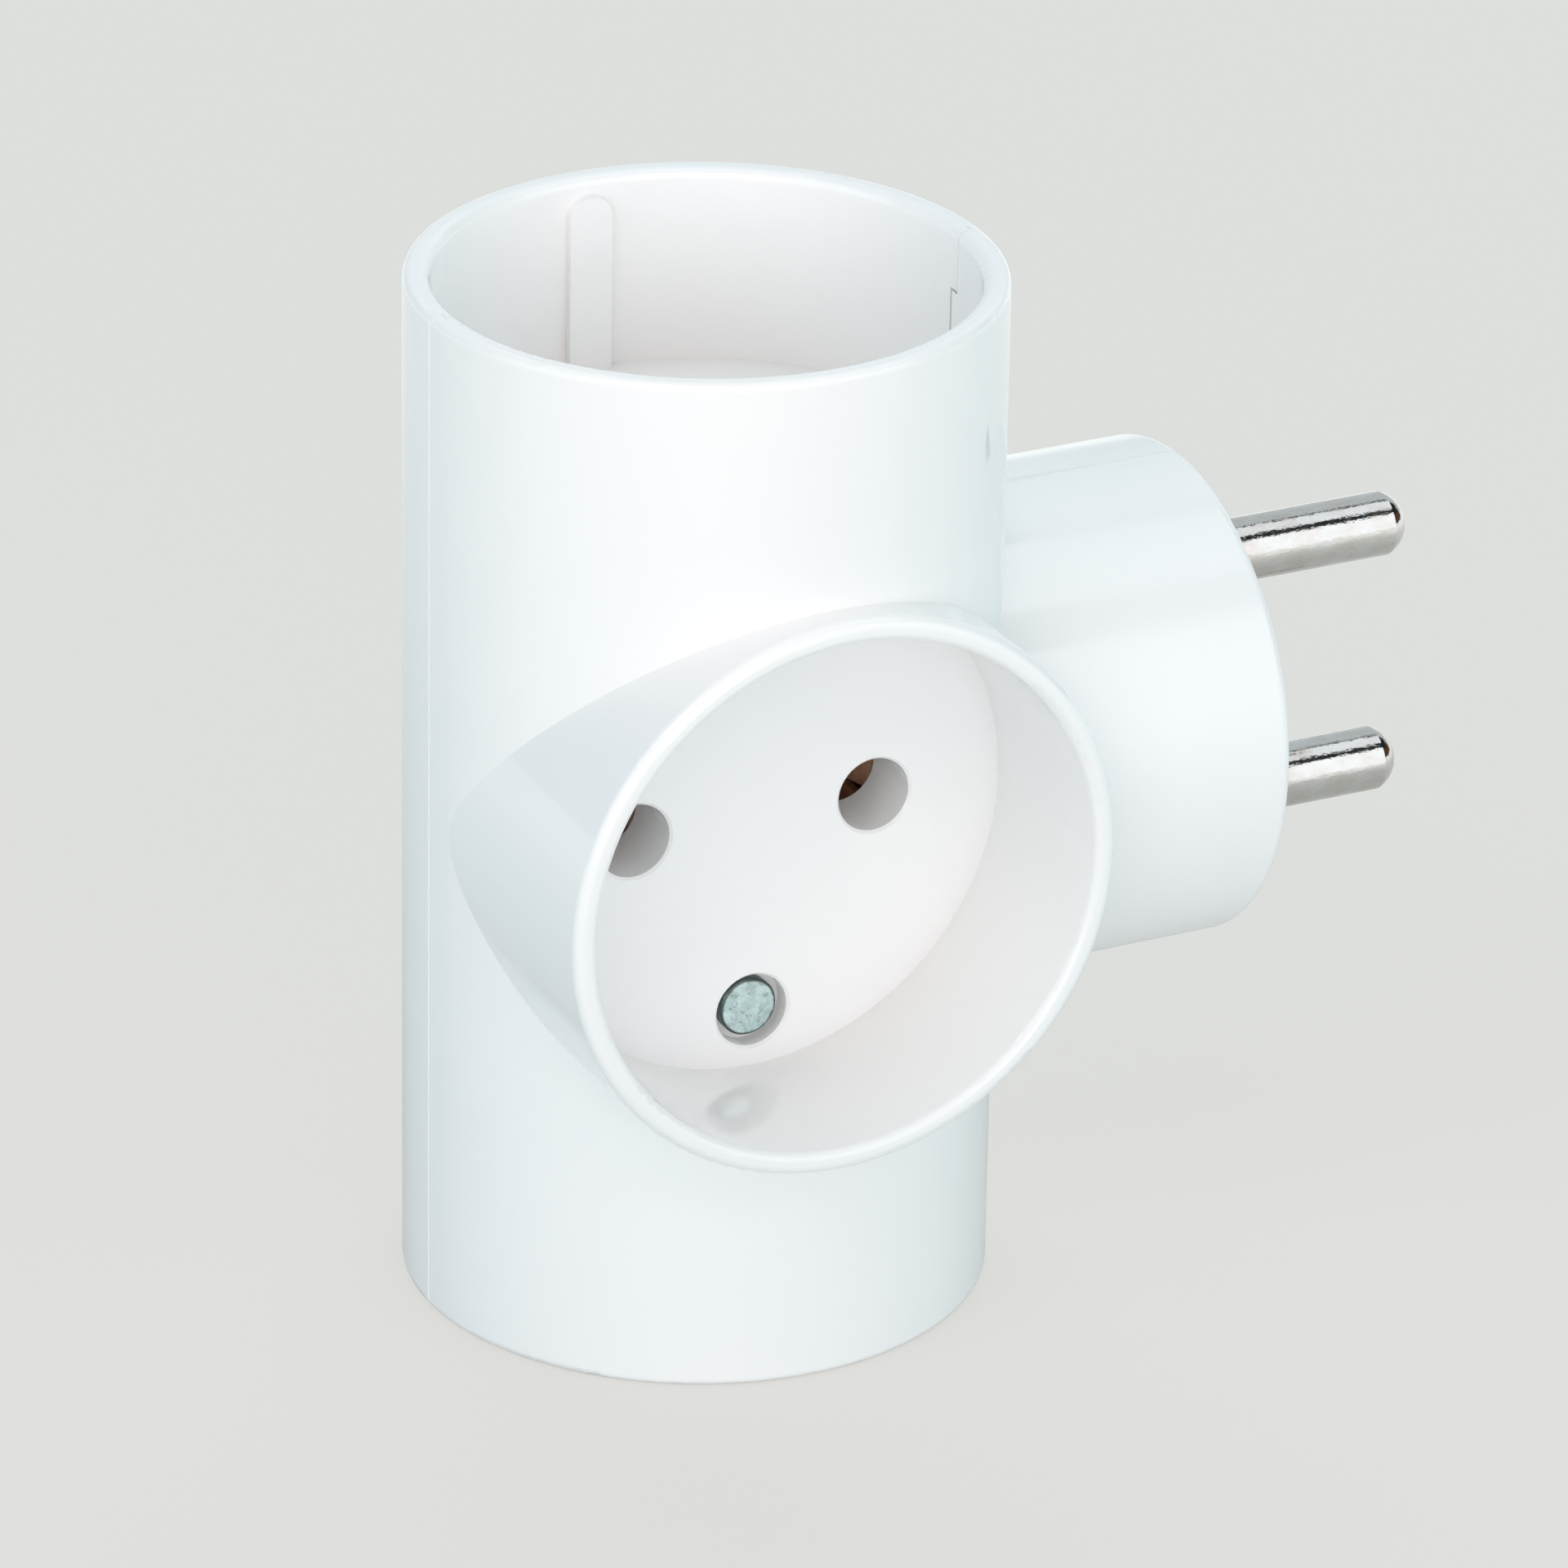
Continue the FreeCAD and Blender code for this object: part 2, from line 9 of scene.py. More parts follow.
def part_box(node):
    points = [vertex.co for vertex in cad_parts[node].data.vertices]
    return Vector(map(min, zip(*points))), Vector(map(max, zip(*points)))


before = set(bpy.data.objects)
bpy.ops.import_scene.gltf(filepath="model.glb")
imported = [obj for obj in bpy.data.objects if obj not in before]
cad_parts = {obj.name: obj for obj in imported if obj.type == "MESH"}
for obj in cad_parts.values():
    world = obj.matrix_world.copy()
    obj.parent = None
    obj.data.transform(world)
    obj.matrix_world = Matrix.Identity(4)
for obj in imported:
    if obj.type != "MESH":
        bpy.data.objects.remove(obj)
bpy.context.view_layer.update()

bl_info = {
    "name": "Three-way socket adapter",
    "version": (1, 0, 0),
    "blender": (4, 5, 0),
    "location": "View3D > Sidebar > Adapter",
    "description": "Finishes, light tent and camera for the moulded three-way socket adapter",
    "category": "Object",
}

SHELLS = ("front_shell", "back_shell")
PINS = ("upper_plug_pin", "lower_plug_pin")
CONTACTS = ("upper_pole_contact", "lower_pole_contact")
RIVETS = "case_rivets"


def span(node):
    """The lowest and highest corner of a CAD node."""
    low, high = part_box(node)
    return Vector(low), Vector(high)


SHELL_LOW, SHELL_HIGH = span("front_shell")
BOSS_FACE_X = SHELL_HIGH.x
MID_HEIGHT = (SHELL_LOW.z + SHELL_HIGH.z) / 2
TUBE_R = -SHELL_LOW.x
PIN_LOW, PIN_HIGH = span("upper_plug_pin")
PIN_OFFSET = (PIN_LOW.z + PIN_HIGH.z) / 2 - MID_HEIGHT
RIVET_LOW, RIVET_HIGH = span(RIVETS)
RIVET_HEAD_R = (RIVET_HIGH.x - RIVET_LOW.x) / 2
RIVET_OFFSET = RIVET_HIGH.z - RIVET_HEAD_R - MID_HEIGHT

# The camera looks from the front left and above, and is rolled by a degree.
# Its place is in metres, and its lens and sensor are in millimetres
CAMERA_PLACE = Vector((-0.2846, -0.57533, 0.3331))
CAMERA_TURN = math.radians(-26.86)
CAMERA_RISE = math.radians(24.71)
CAMERA_ROLL = math.radians(0.99)
CAMERA_LENS = 225.72
CAMERA_SENSOR = 36.0

# Size of one grain of each pattern along x, y and z, in metres
GRAINS = {
    "clouds": (0.02, 0.02, 0.035),
    "flow": (0.006, 0.006, 0.018),
    "scuffs": (0.0012, 0.0012, 0.0004),
    "stains": (0.0022, 0.0012, 0.0012),
    "waver": (0.0011, 0.0005, 0.0005),
    "pits": (0.0003, 0.00025, 0.00025),
    "rings": (0.00012, 0.004, 0.004),
    "tarnish": (0.004, 0.004, 0.005),
    "rolling": (0.00015, 0.00015, 0.01),
    "mottle": (0.0009, 0.0009, 0.0009),
    "dents": (0.0014, 0.0014, 0.0014),
    "nicks": (0.0006, 0.0006, 0.00045),
    "scratches": (0.00008, 0.002, 0.0012),
}
# Height of the relief that a pattern makes, in metres
HEIGHTS = {
    "peel": 2e-6,
    "scuffs": 5e-7,
    "waver": 1.8e-5,
    "pits": 1.6e-5,
    "rings": 5e-7,
    "rolling": 1.5e-6,
    "dents": 1.2e-4,
    "nicks": 1.5e-5,
    "scratches": 4e-6,
}
# Values of a pattern between which its colour comes in
BANDS = {
    "clouds": (0.35, 0.65),
    "scuffs": (0.4, 0.6),
    "stains": (0.4, 0.7),
    "tarnish": (0.42, 0.68),
    "mottle": (0.38, 0.64),
    "nicks": (0.56, 0.64),
}
# Values that a noise pattern mostly lies between
NOISE_SPAN = (0.3, 0.7)
# Length over which the tube's gloss becomes the boss's
BOSS_BLEND = 0.002
# Share of the foot's wear that is left between scuffs, and how much of its colour and dulling shows
WEAR_SHARE = {"between_scuffs": 0.2, "colour": 0.5, "roughness": 0.3}
# How much of the specks' colour shows in the rivets' nicks
SPECK_SHARE = 0.8
# Painted shade at a rivet head's rim, standing in for the shadowed gap round the head:
# it starts at this share of the head's radius, is ragged by this length,
# and hides this share of the zinc
RIM_PAINTED_SHADE = {"start": 0.94, "ragged": 0.0003, "share": 0.9}
# Sockets of the Mix node's two colours and of its result
MIX_COLOURS = (6, 7)
MIX_RESULT = 2

# Light tent: each panel's turn from the camera to its right, its rise, its distance, and its half angles
# across and up. Distances are in metres and angles in degrees
PANELS = {
    "near_high": (-10, 50, 0.22, 25, 12),
    "front_low": (0, 12, 20.0, 30, 13),
    "front_left": (-57, 25, 20.0, 24, 26),
    "front_right": (57, 25, 20.0, 24, 26),
    "right": (115, 25, 20.0, 26, 26),
    "back": (180, 30, 20.0, 34, 24),
    "cup_fill": (27, 8, 20.0, 25, 10),
}
# Panels that light the object and aren't mirrored in it
UNSEEN_PANELS = ("right", "back", "cup_fill")
# Sides of the overhead panel and of the dark cards beside it, for each metre of their height
OVERHEAD = {"x": (-0.9, 0.9), "y": (-0.42, 0.275)}
OVERHEAD_HEIGHT = 20.0
DARK_CARDS = {
    "front_card": {"x": (-1.2, 1.2), "y": (-0.78, -0.36)},
    "back_card": {"x": (-1.2, 1.2), "y": (0.28, 0.39)},
}
CARD_HEIGHT = 3.0
CARD_ROUGHNESS = 0.9
# Cards that the pins' ends mirror, placed as the panels are
END_CARDS = {
    "black_card": (115, 32, 3.0, 24, 18),
    "brown_card": (112, 6, 3.0, 22, 8),
}
CARD_COLOURS = {
    "front_card": (0.04, 0.042, 0.038),
    "back_card": (0.012, 0.012, 0.011),
    "black_card": (0.01, 0.012, 0.012),
    "brown_card": (0.16, 0.06, 0.025),
}
# A mirror shows the floor with painted shade beside the object and painted light further out:
# distances from the tent's middle, and shares of the floor's light there
PAINTED_MIRRORED_FLOOR = {"distance": (0.04, 0.3), "share": (0.68, 1.9)}
# Light of each panel, where 1 is as bright as a white sheet in full light
PANEL_LIGHT = {
    "near_high": (1.45, 0.9, 0.69),
    "front_low": (2.57, 2.43, 2.39),
    "front_left": (0.82, 0.92, 1.0),
    "front_right": (0.88, 0.84, 0.86),
    "right": (0.31, 0.52, 0.49),
    "back": (1.88, 1.75, 1.76),
    "cup_fill": (0.4, 0.32, 0.38),
    "overhead": (0.52, 0.5, 0.53),
}
AMBIENT = (0.08, 0.21, 0.25)
TENT_CENTRE = Vector((0.01, 0.0, MID_HEIGHT))


def set_node(tree, kind, inputs=None, **settings):
    """Add a shader node, set its properties, and set or link its inputs."""
    node = tree.nodes.new(kind)
    for key, value in settings.items():
        setattr(node, key, value)
    for key, value in (inputs or {}).items():
        if isinstance(value, bpy.types.NodeSocket):
            tree.links.new(value, node.inputs[key])
        else:
            node.inputs[key].default_value = value
    return node


def opaque(colour):
    return (*colour, 1.0)


def object_space(tree, centre=(0.0, 0.0, 0.0)):
    """Object coordinates, measured from a centre."""
    inputs = {"Vector": set_node(tree, "ShaderNodeTexCoord").outputs["Object"], "Location": centre}
    return set_node(tree, "ShaderNodeMapping", inputs, vector_type="TEXTURE").outputs["Vector"]


def noise(tree, space, grain, detail=3.0, roughness=0.5, distortion=0.0):
    """A noise pattern in a space, with grains of this size."""
    inputs = {"Vector": space, "Scale": grain}
    grains = set_node(tree, "ShaderNodeMapping", inputs, vector_type="TEXTURE").outputs["Vector"]
    inputs = {"Vector": grains, "Scale": 1.0, "Detail": detail}
    inputs.update({"Roughness": roughness, "Distortion": distortion})
    return set_node(tree, "ShaderNodeTexNoise", inputs).outputs["Fac"]


def remap(tree, value, from_range, to_range=(0.0, 1.0)):
    """Carry one range of values to another, and hold it there beyond the ends."""
    inputs = {"Value": value, "From Min": from_range[0], "From Max": from_range[1]}
    inputs.update({"To Min": to_range[0], "To Max": to_range[1]})
    return set_node(tree, "ShaderNodeMapRange", inputs).outputs["Result"]


def maths(tree, operation, a, b=0.0, c=0.0):
    return set_node(tree, "ShaderNodeMath", {0: a, 1: b, 2: c}, operation=operation).outputs["Value"]


def mixed(tree, factor, a, b):
    """Mix two colours, each a colour or a socket."""
    inputs = {0: factor}
    for key, value in zip(MIX_COLOURS, (a, b)):
        inputs[key] = value if isinstance(value, bpy.types.NodeSocket) else opaque(value)
    return set_node(tree, "ShaderNodeMix", inputs, data_type="RGBA").outputs[MIX_RESULT]


def relief(tree, patterns):
    """A normal from patterns, each raised by its own height."""
    total = 0.0
    for name, pattern in patterns.items():
        total = maths(tree, "MULTIPLY_ADD", pattern, HEIGHTS[name], total)
    inputs = {"Height": total, "Distance": 1.0, "Strength": 1.0}
    return set_node(tree, "ShaderNodeBump", inputs).outputs["Normal"]


def wandering_gloss(tree, pattern, settings):
    """A roughness that follows a pattern from a finish's lowest to its highest."""
    return remap(tree, pattern, NOISE_SPAN, (settings.gloss_low, settings.gloss_high))


def about_pair(tree, offset):
    """Object coordinates of a pair of pieces, one each side of the mid height, folded about one axis."""
    place = set_node(tree, "ShaderNodeTexCoord").outputs["Object"]
    parts = set_node(tree, "ShaderNodeSeparateXYZ", {"Vector": place}).outputs
    height = maths(tree, "SUBTRACT", parts["Z"], MID_HEIGHT)
    height = maths(tree, "SUBTRACT", maths(tree, "ABSOLUTE", height), offset)
    return parts["X"], parts["Y"], height


def combined(tree, x, y, z):
    return set_node(tree, "ShaderNodeCombineXYZ", {"X": x, "Y": y, "Z": z}).outputs["Vector"]


def new_material(name):
    material = bpy.data.materials.new(name)
    material.use_nodes = True
    tree = material.node_tree
    tree.nodes.clear()
    return material, tree


def finish_surface(tree, inputs):
    surface = set_node(tree, "ShaderNodeBsdfPrincipled", inputs)
    set_node(tree, "ShaderNodeOutputMaterial", {"Surface": surface.outputs["BSDF"]})


def dress(names, material):
    """Give CAD nodes a material in all their slots."""
    for name in names:
        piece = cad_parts[name]
        if not piece.material_slots:
            piece.data.materials.append(material)
        for slot in piece.material_slots:
            slot.material = material


def housing_plastic(settings):
    """Glossy moulded plastic: flow clouds, an orange-peel skin, a rubbed foot and a duller boss."""
    material, tree = new_material("moulded_white")
    space = object_space(tree, (0.0, 0.0, MID_HEIGHT))
    clouds = noise(tree, space, GRAINS["clouds"], detail=4.0)
    colour = mixed(tree, remap(tree, clouds, BANDS["clouds"]), settings.colour, settings.cloud_colour)
    place = set_node(tree, "ShaderNodeSeparateXYZ", {"Vector": object_space(tree)}).outputs
    scuffs = noise(tree, space, GRAINS["scuffs"], detail=5.0, roughness=0.7)
    foot = remap(tree, place["Z"], (0.0, settings.foot_wear), (1.0, 0.0))
    scuffed = remap(tree, scuffs, BANDS["scuffs"], (WEAR_SHARE["between_scuffs"], 1.0))
    rubbed = maths(tree, "MULTIPLY", foot, scuffed)
    worn = maths(tree, "MULTIPLY", rubbed, WEAR_SHARE["colour"])
    colour = mixed(tree, worn, colour, settings.wear_colour)
    gloss = wandering_gloss(tree, noise(tree, space, GRAINS["flow"]), settings)
    gloss = maths(tree, "MULTIPLY_ADD", rubbed, WEAR_SHARE["roughness"], gloss)
    on_boss = remap(tree, place["X"], (TUBE_R, TUBE_R + BOSS_BLEND))
    gloss = maths(tree, "MULTIPLY_ADD", on_boss, settings.boss_dulling, gloss)
    peel = noise(tree, space, (settings.peel,) * 3, detail=2.0)
    normal = relief(tree, {"peel": peel, "scuffs": scuffs})
    finish_surface(tree, {"Base Color": colour, "Roughness": gloss, "Normal": normal, "IOR": 1.5})
    return material


def finish_metal(tree, colour, gloss, normal):
    finish_surface(tree, {"Base Color": colour, "Metallic": 1.0, "Roughness": gloss, "Normal": normal})


def nickel_plate(settings):
    """Bright plate with a wavering, pitted skin, faint rings from turning, and warm stains."""
    material, tree = new_material("nickel_plate")
    x, y, z = about_pair(tree, PIN_OFFSET)
    space = combined(tree, x, y, z)
    stains = noise(tree, space, GRAINS["stains"], detail=6.0, roughness=0.7)
    near_boss = remap(tree, x, (BOSS_FACE_X, BOSS_FACE_X + settings.handled), (1.0, 0.0))
    handled = maths(tree, "MULTIPLY", near_boss, stains)
    stained = maths(tree, "ADD", remap(tree, stains, BANDS["stains"]), handled)
    colour = mixed(tree, stained, settings.colour, settings.stain_colour)
    waver = noise(tree, space, GRAINS["waver"], detail=2.0)
    pits = noise(tree, space, GRAINS["pits"], detail=2.0, roughness=0.6)
    rings = noise(tree, space, GRAINS["rings"], detail=2.0)
    normal = relief(tree, {"waver": waver, "pits": pits, "rings": rings})
    finish_metal(tree, colour, wandering_gloss(tree, stains, settings), normal)
    return material


def contact_brass(settings):
    """Dull rolled brass strip: rolling lines up the contact and a mottled tarnish."""
    material, tree = new_material("rolled_brass")
    space = object_space(tree, (0.0, 0.0, MID_HEIGHT))
    tarnish = noise(tree, space, GRAINS["tarnish"], detail=6.0, roughness=0.65)
    tarnished = remap(tree, tarnish, BANDS["tarnish"])
    colour = mixed(tree, tarnished, settings.colour, settings.stain_colour)
    normal = relief(tree, {"rolling": noise(tree, space, GRAINS["rolling"])})
    finish_metal(tree, colour, wandering_gloss(tree, tarnish, settings), normal)
    return material


def zinc_plate(settings):
    """Tumbled zinc on the rivets: mottled, specked and scratched round the head, with painted shade
    round its rim.
    """
    material, tree = new_material("tumbled_zinc")
    x, y, z = about_pair(tree, RIVET_OFFSET)
    space = combined(tree, x, y, z)
    mottle = noise(tree, space, GRAINS["mottle"], detail=5.0, roughness=0.65, distortion=0.6)
    mottled = remap(tree, mottle, BANDS["mottle"])
    colour = mixed(tree, mottled, settings.colour, settings.stain_colour)
    squares = maths(tree, "MULTIPLY_ADD", x, x, maths(tree, "MULTIPLY", z, z))
    radius = maths(tree, "SQRT", squares)
    # The dark ring at the head's rim is painted shade for the shadowed gap between the head and its
    # recess
    ragged = maths(tree, "MULTIPLY_ADD", mottle, RIM_PAINTED_SHADE["ragged"], radius)
    rim_shade_band = (RIVET_HEAD_R * RIM_PAINTED_SHADE["start"], RIVET_HEAD_R)
    rim = remap(tree, ragged, rim_shade_band, (0.0, RIM_PAINTED_SHADE["share"]))
    colour = mixed(tree, rim, colour, settings.painted_rim_shade_colour)
    nicks = noise(tree, space, GRAINS["nicks"], detail=5.0, roughness=0.75)
    specks = remap(tree, nicks, BANDS["nicks"], (0.0, SPECK_SHARE))
    colour = mixed(tree, specks, colour, settings.speck_colour)
    dents = noise(tree, space, GRAINS["dents"], detail=2.0)
    scratches = noise(tree, combined(tree, radius, y, z), GRAINS["scratches"], detail=4.0)
    normal = relief(tree, {"dents": dents, "nicks": nicks, "scratches": scratches})
    finish_metal(tree, colour, wandering_gloss(tree, mottle, settings), normal)
    return material


def direction(turn, rise):
    """The direction that lies this far round from the front, and this far up."""
    level = math.cos(rise)
    return Vector((math.sin(turn) * level, -math.cos(turn) * level, math.sin(rise)))


def camera_axes():
    """The camera's right, up and backward directions."""
    back = direction(CAMERA_TURN, CAMERA_RISE)
    level = Vector((math.cos(CAMERA_TURN), math.sin(CAMERA_TURN), 0.0))
    over = back.cross(level)
    right = math.cos(CAMERA_ROLL) * level + math.sin(CAMERA_ROLL) * over
    up = math.cos(CAMERA_ROLL) * over - math.sin(CAMERA_ROLL) * level
    return right, up, back


def place_camera():
    lens = bpy.data.cameras.new("photo_camera")
    lens.lens = CAMERA_LENS
    lens.sensor_width = CAMERA_SENSOR
    lens.clip_start = 0.01
    lens.clip_end = 100.0
    camera = bpy.data.objects.new("photo_camera", lens)
    rotation = Matrix(camera_axes()).transposed().to_4x4()
    camera.matrix_world = Matrix.Translation(CAMERA_PLACE) @ rotation
    bpy.context.collection.objects.link(camera)
    bpy.context.scene.camera = camera


def from_camera(turn, rise):
    """The direction that lies this far to the right of the camera, and this far up."""
    return direction(CAMERA_TURN + math.radians(turn), math.radians(rise))


def add_panel(name, matrix, size):
    """A soft rectangular lamp that shines along its own -Z, and looks as bright as PANEL_LIGHT says."""
    light = PANEL_LIGHT[name]
    brightness = max(light)
    lamp = bpy.data.lights.new(name, "AREA")
    lamp.shape = "RECTANGLE"
    lamp.size, lamp.size_y = size
    lamp.color = [part / brightness for part in light]
    lamp.energy = brightness * math.pi * size[0] * size[1]
    panel = bpy.data.objects.new(name, lamp)
    panel.matrix_world = matrix
    panel.visible_camera = False
    panel.visible_glossy = name not in UNSEEN_PANELS
    bpy.context.collection.objects.link(panel)


def facing_centre(turn, rise, distance, across, up):
    """The matrix and the size of a rectangle that faces the tent's centre, with these half angles."""
    outward = from_camera(turn, rise)
    level = Vector((-outward.y, outward.x, 0.0)).normalized()
    rotation = Matrix((level, outward.cross(level), outward)).transposed().to_4x4()
    size = [2 * distance * math.tan(math.radians(half)) for half in (across, up)]
    return Matrix.Translation(TENT_CENTRE + outward * distance) @ rotation, size


def level_above(sides, height):
    """The matrix and the size of a level rectangle at a height, from its sides for each metre of it."""
    (low_x, high_x), (low_y, high_y) = sides["x"], sides["y"]
    centre = Vector(((low_x + high_x) / 2, (low_y + high_y) / 2, 1.0)) * height
    return Matrix.Translation(centre), (height * (high_x - low_x), height * (high_y - low_y))


def raise_panels():
    for name, place in PANELS.items():
        add_panel(name, *facing_centre(*place))
    add_panel("overhead", *level_above(OVERHEAD, OVERHEAD_HEIGHT))


def stage_piece(name, mesh, material):
    data = bpy.data.meshes.new(name)
    mesh.to_mesh(data)
    mesh.free()
    data.materials.append(material)
    piece = bpy.data.objects.new(name, data)
    bpy.context.collection.objects.link(piece)
    return piece


def hang_card(name, matrix, size):
    """A dark card that only mirrors show."""
    material, tree = new_material(name)
    finish_surface(tree, {"Base Color": opaque(CARD_COLOURS[name]), "Roughness": CARD_ROUGHNESS})
    mesh = bmesh.new()
    sized = matrix @ Matrix.Diagonal((*size, 1.0, 1.0))
    bmesh.ops.create_grid(mesh, x_segments=1, y_segments=1, size=0.5, matrix=sized)
    card = stage_piece(name, mesh, material)
    card.visible_camera = False
    card.visible_diffuse = False
    card.visible_shadow = False


def hang_cards():
    """Cards by the overhead panel draw the dark lines along the pins, and others darken their ends."""
    for name, sides in DARK_CARDS.items():
        hang_card(name, *level_above(sides, CARD_HEIGHT))
    for name, place in END_CARDS.items():
        hang_card(name, *facing_centre(*place))


def lay_floor(settings):
    """A pale floor that keeps a part of the object's shadow, and that mirrors show with painted shade
    beside it and painted light further out.
    """
    material, tree = new_material("pale_floor")
    paint = {"Color": opaque(settings.floor_colour)}
    sheet = set_node(tree, "ShaderNodeBsdfDiffuse", paint).outputs["BSDF"]
    path = set_node(tree, "ShaderNodeLightPath")
    place = object_space(tree, (TENT_CENTRE.x, TENT_CENTRE.y, 0.0))
    length = set_node(tree, "ShaderNodeVectorMath", {0: place}, operation="LENGTH")
    distance = length.outputs["Value"]
    # The share is 1 where the camera sees the floor, and follows the distance where a mirror does:
    # painted shade near the object, painted light further out
    share = remap(tree, distance, PAINTED_MIRRORED_FLOOR["distance"], PAINTED_MIRRORED_FLOOR["share"])
    share = maths(tree, "MAXIMUM", share, path.outputs["Is Camera Ray"])
    share = maths(tree, "MINIMUM", share, maths(tree, "ADD", path.outputs["Is Glossy Ray"], 1.0))
    inputs = {"Color": opaque(settings.shown_colour), "Strength": share}
    shown = set_node(tree, "ShaderNodeEmission", inputs).outputs["Emission"]
    seen = maths(tree, "MAXIMUM", path.outputs["Is Camera Ray"], path.outputs["Is Glossy Ray"])
    seen = maths(tree, "MAXIMUM", seen, path.outputs["Is Transmission Ray"])
    lifted = maths(tree, "MULTIPLY", seen, 1.0 - settings.shadow_depth)
    surface = set_node(tree, "ShaderNodeMixShader", {0: lifted, 1: sheet, 2: shown}).outputs["Shader"]
    set_node(tree, "ShaderNodeOutputMaterial", {"Surface": surface})
    mesh = bmesh.new()
    bmesh.ops.create_grid(mesh, x_segments=1, y_segments=1, size=settings.floor_size / 2)
    stage_piece("floor", mesh, material)


def light_world(settings):
    """Pale backdrop where it is seen, and a soft even light everywhere else."""
    world = bpy.data.worlds.new("light_tent")
    bpy.context.scene.world = world
    world.use_nodes = True
    tree = world.node_tree
    tree.nodes.clear()
    path = set_node(tree, "ShaderNodeLightPath")
    colour = mixed(tree, path.outputs["Is Glossy Ray"], AMBIENT, settings.mirrored_colour)
    seen = maths(tree, "MAXIMUM", path.outputs["Is Camera Ray"], path.outputs["Is Transmission Ray"])
    colour = mixed(tree, seen, colour, settings.backdrop_colour)
    light = set_node(tree, "ShaderNodeBackground", {"Color": colour, "Strength": 1.0})
    set_node(tree, "ShaderNodeOutputWorld", {"Surface": light.outputs["Background"]})


def colour_property(name, description, default):
    return FloatVectorProperty(
        name=name, description=description, default=default, size=3, min=0.0, max=1.0, subtype="COLOR"
    )


def share_property(name, description, default):
    return FloatProperty(
        name=name, description=description, default=default, min=0.0, max=1.0, subtype="FACTOR"
    )


def length_property(name, description, default):
    return FloatProperty(name=name, description=description, default=default, min=0.0, unit="LENGTH")


class HousingSettings(bpy.types.PropertyGroup):
    colour: colour_property("Colour", "Colour of the plastic", (0.945, 0.937, 0.93))
    cloud_colour: colour_property("Cloud colour", "Colour of its flow clouds", (0.932, 0.93, 0.924))
    wear_colour: colour_property("Wear colour", "Colour of the rubbed foot", (0.62, 0.61, 0.58))
    gloss_low: share_property("Lowest roughness", "Roughness where the plastic is glossiest", 0.05)
    gloss_high: share_property("Highest roughness", "Roughness where the plastic is dullest", 0.1)
    boss_dulling: share_property("Boss dulling", "Roughness of the boss beyond the tube's", 0.13)
    peel: length_property("Orange peel", "Size of the waves in the plastic's skin", 0.0014)
    foot_wear: length_property("Foot wear", "Height of the rubbed band round the foot", 0.0005)


class PinSettings(bpy.types.PropertyGroup):
    colour: colour_property("Colour", "Colour of the clean nickel plate", (0.6, 0.615, 0.605))
    stain_colour: colour_property("Stain colour", "Colour of the warm stains on it", (0.55, 0.52, 0.485))
    handled: length_property("Handled length", "Length beside the boss where stains gather", 0.008)
    gloss_low: share_property("Lowest roughness", "Roughness of the clean plate", 0.05)
    gloss_high: share_property("Highest roughness", "Roughness of the stained plate", 0.16)


class ContactSettings(bpy.types.PropertyGroup):
    colour: colour_property("Colour", "Colour of the clean brass", (0.95, 0.7, 0.52))
    stain_colour: colour_property("Tarnish colour", "Colour of tarnished brass", (0.62, 0.36, 0.24))
    gloss_low: share_property("Lowest roughness", "Roughness of the clean brass", 0.55)
    gloss_high: share_property("Highest roughness", "Roughness of the tarnished brass", 0.75)


class RivetSettings(bpy.types.PropertyGroup):
    colour: colour_property("Colour", "Colour of the zinc plate", (0.66, 0.82, 0.83))
    stain_colour: colour_property("Mottle colour", "Colour of its darker patches", (0.44, 0.58, 0.57))
    speck_colour: colour_property("Speck colour", "Colour of its dull specks", (0.27, 0.3, 0.25))
    # The rim colour is painted shade, the dark gap round a rivet head
    painted_rim_shade_colour: colour_property("Rim colour", "Colour of the painted_shade at the rim", (0.07, 0.1, 0.09))
    gloss_low: share_property("Lowest roughness", "Roughness where the plate is brightest", 0.28)
    gloss_high: share_property("Highest roughness", "Roughness where the plate is dullest", 0.5)


class StageSettings(bpy.types.PropertyGroup):
    floor_colour: colour_property("Floor colour", "Colour of the floor's sheet", (0.7, 0.7, 0.68))
    shown_colour: colour_property("Shown floor", "Grey the floor is lifted to", (0.812, 0.797, 0.763))
    backdrop_colour: colour_property("Backdrop", "Grey behind the object", (0.7305, 0.7379, 0.7157))
    mirrored_colour: colour_property("Mirrored backdrop", "Grey in reflections", (0.7, 0.75, 0.775))
    shadow_depth: share_property("Shadow depth", "Share of the shadow that the floor keeps", 0.3)
    floor_size: length_property("Floor size", "Length of the floor's sides", 6.0)


class ADAPTER_OT_finish_housing(bpy.types.Operator):
    """Give both half shells their glossy moulded plastic"""
    bl_idname = "adapter.finish_housing"
    bl_label = "Finish housing"

    def execute(self, context):
        dress(SHELLS, housing_plastic(context.scene.adapter_housing))
        return {"FINISHED"}


class ADAPTER_OT_finish_pins(bpy.types.Operator):
    """Give both plug pins their nickel plate"""
    bl_idname = "adapter.finish_pins"
    bl_label = "Finish plug pins"

    def execute(self, context):
        dress(PINS, nickel_plate(context.scene.adapter_pins))
        return {"FINISHED"}


class ADAPTER_OT_finish_contacts(bpy.types.Operator):
    """Give both poles' contacts their rolled brass"""
    bl_idname = "adapter.finish_contacts"
    bl_label = "Finish contacts"

    def execute(self, context):
        dress(CONTACTS, contact_brass(context.scene.adapter_contacts))
        return {"FINISHED"}


class ADAPTER_OT_finish_rivets(bpy.types.Operator):
    """Give the housing's rivets their tumbled zinc"""
    bl_idname = "adapter.finish_rivets"
    bl_label = "Finish rivets"

    def execute(self, context):
        dress((RIVETS,), zinc_plate(context.scene.adapter_rivets))
        return {"FINISHED"}


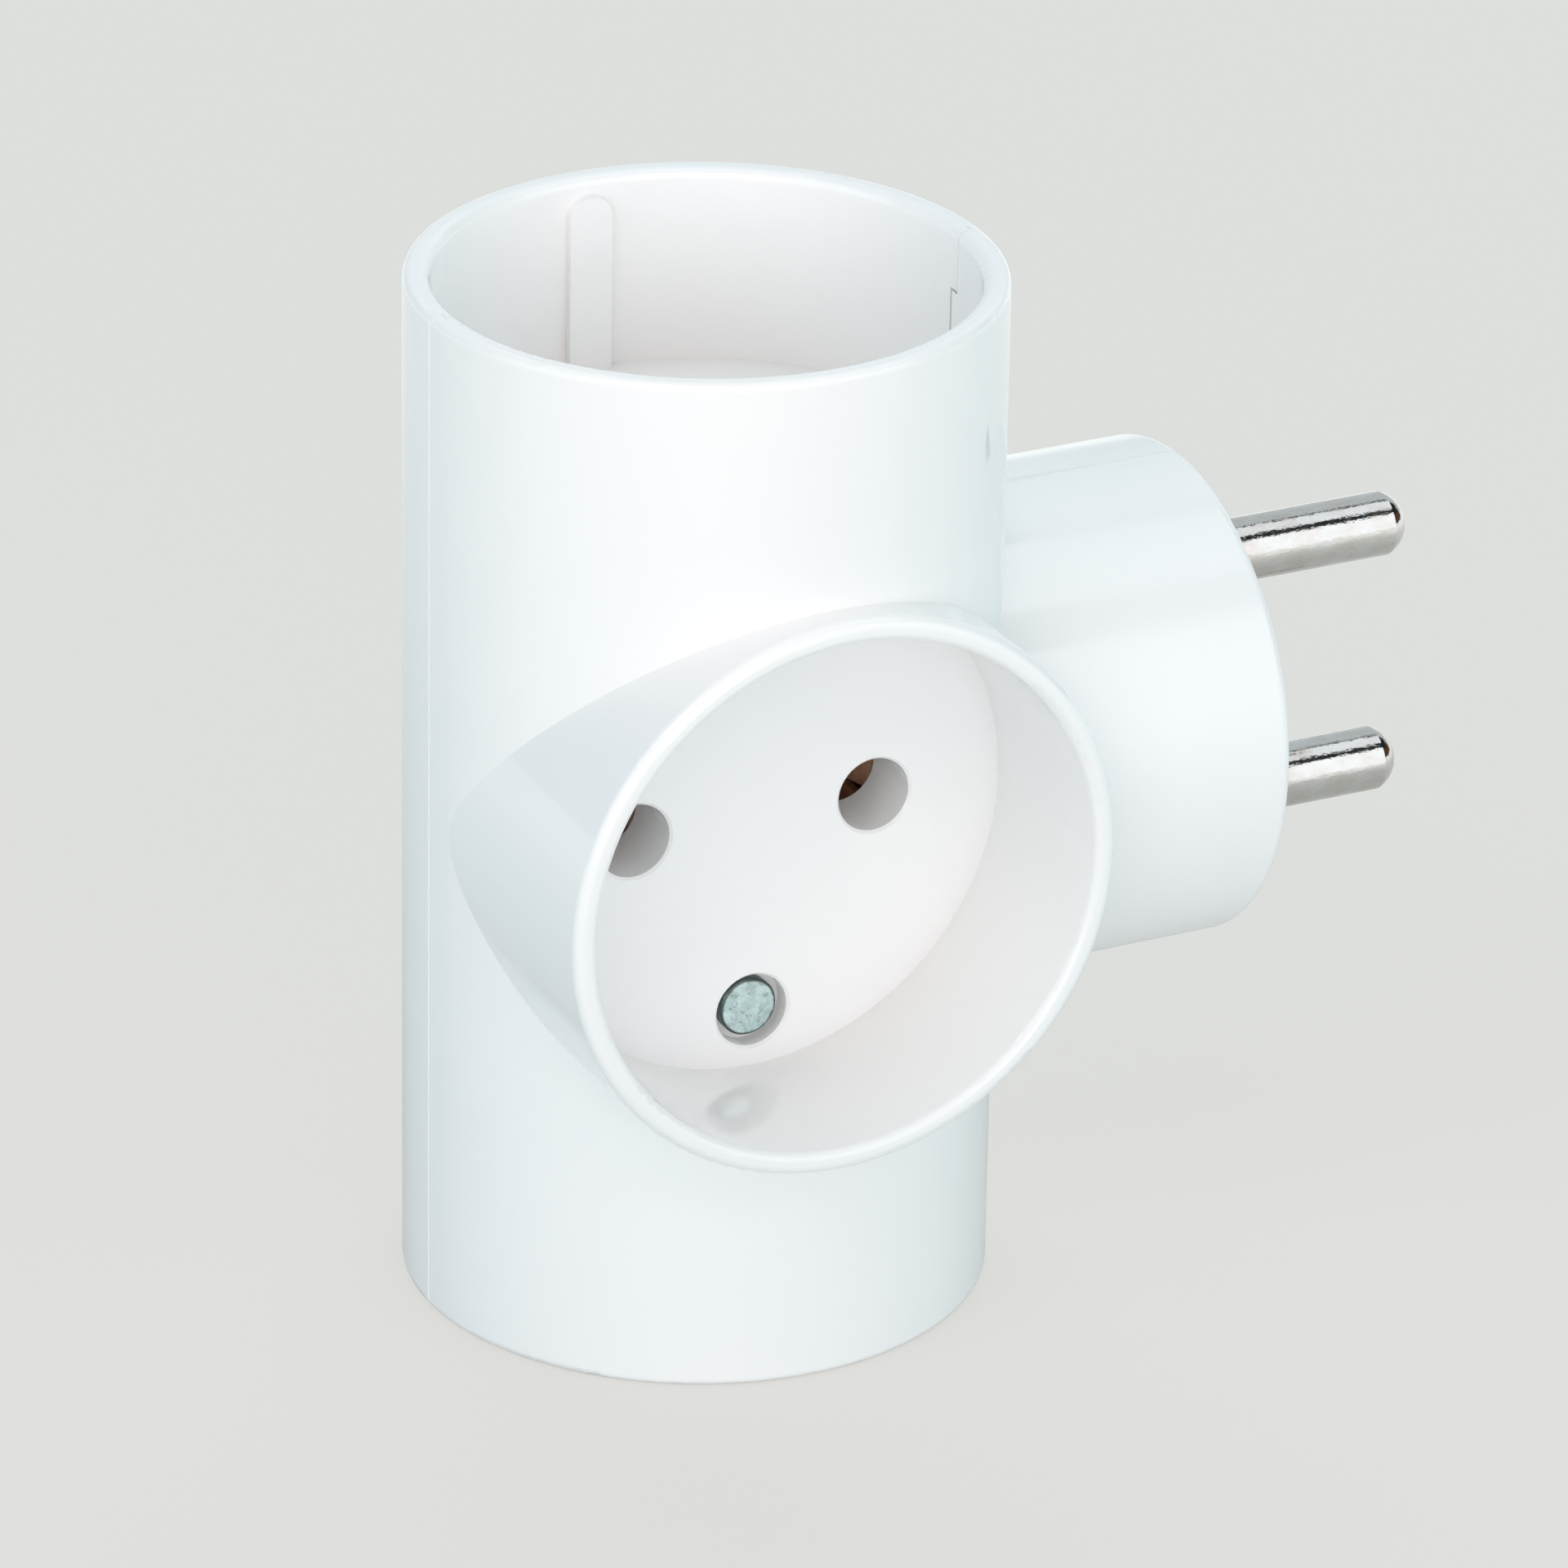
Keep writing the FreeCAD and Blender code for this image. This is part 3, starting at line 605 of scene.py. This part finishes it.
class ADAPTER_OT_set_stage(bpy.types.Operator):
    """Lay the floor, raise the light tent and place the camera"""
    bl_idname = "adapter.set_stage"
    bl_label = "Set stage"

    def execute(self, context):
        settings = context.scene.adapter_stage
        lay_floor(settings)
        light_world(settings)
        raise_panels()
        hang_cards()
        place_camera()
        context.scene.view_settings.view_transform = "Standard"
        return {"FINISHED"}


class ADAPTER_PT_panel(bpy.types.Panel):
    bl_idname = "ADAPTER_PT_panel"
    bl_label = "Three-way socket adapter"
    bl_space_type = "VIEW_3D"
    bl_region_type = "UI"
    bl_category = "Adapter"

    def draw(self, context):
        for operator, group in OPERATORS.items():
            section = self.layout.box()
            settings = getattr(context.scene, group)
            for name in settings.bl_rna.properties.keys():
                if name not in ("rna_type", "name"):
                    section.prop(settings, name)
            section.operator(operator.bl_idname)


SETTINGS = {
    "adapter_housing": HousingSettings,
    "adapter_pins": PinSettings,
    "adapter_contacts": ContactSettings,
    "adapter_rivets": RivetSettings,
    "adapter_stage": StageSettings,
}
OPERATORS = {
    ADAPTER_OT_finish_housing: "adapter_housing",
    ADAPTER_OT_finish_pins: "adapter_pins",
    ADAPTER_OT_finish_contacts: "adapter_contacts",
    ADAPTER_OT_finish_rivets: "adapter_rivets",
    ADAPTER_OT_set_stage: "adapter_stage",
}


def register():
    for name, group in SETTINGS.items():
        bpy.utils.register_class(group)
        setattr(bpy.types.Scene, name, PointerProperty(type=group))
    for operator in OPERATORS:
        bpy.utils.register_class(operator)
    bpy.utils.register_class(ADAPTER_PT_panel)


def unregister():
    bpy.utils.unregister_class(ADAPTER_PT_panel)
    for operator in reversed(OPERATORS):
        bpy.utils.unregister_class(operator)
    for name, group in reversed(SETTINGS.items()):
        delattr(bpy.types.Scene, name)
        bpy.utils.unregister_class(group)


def main():
    register()
    bpy.ops.adapter.finish_housing()
    bpy.ops.adapter.finish_pins()
    bpy.ops.adapter.finish_contacts()
    bpy.ops.adapter.finish_rivets()
    bpy.ops.adapter.set_stage()


if __name__ == "__main__":
    main()
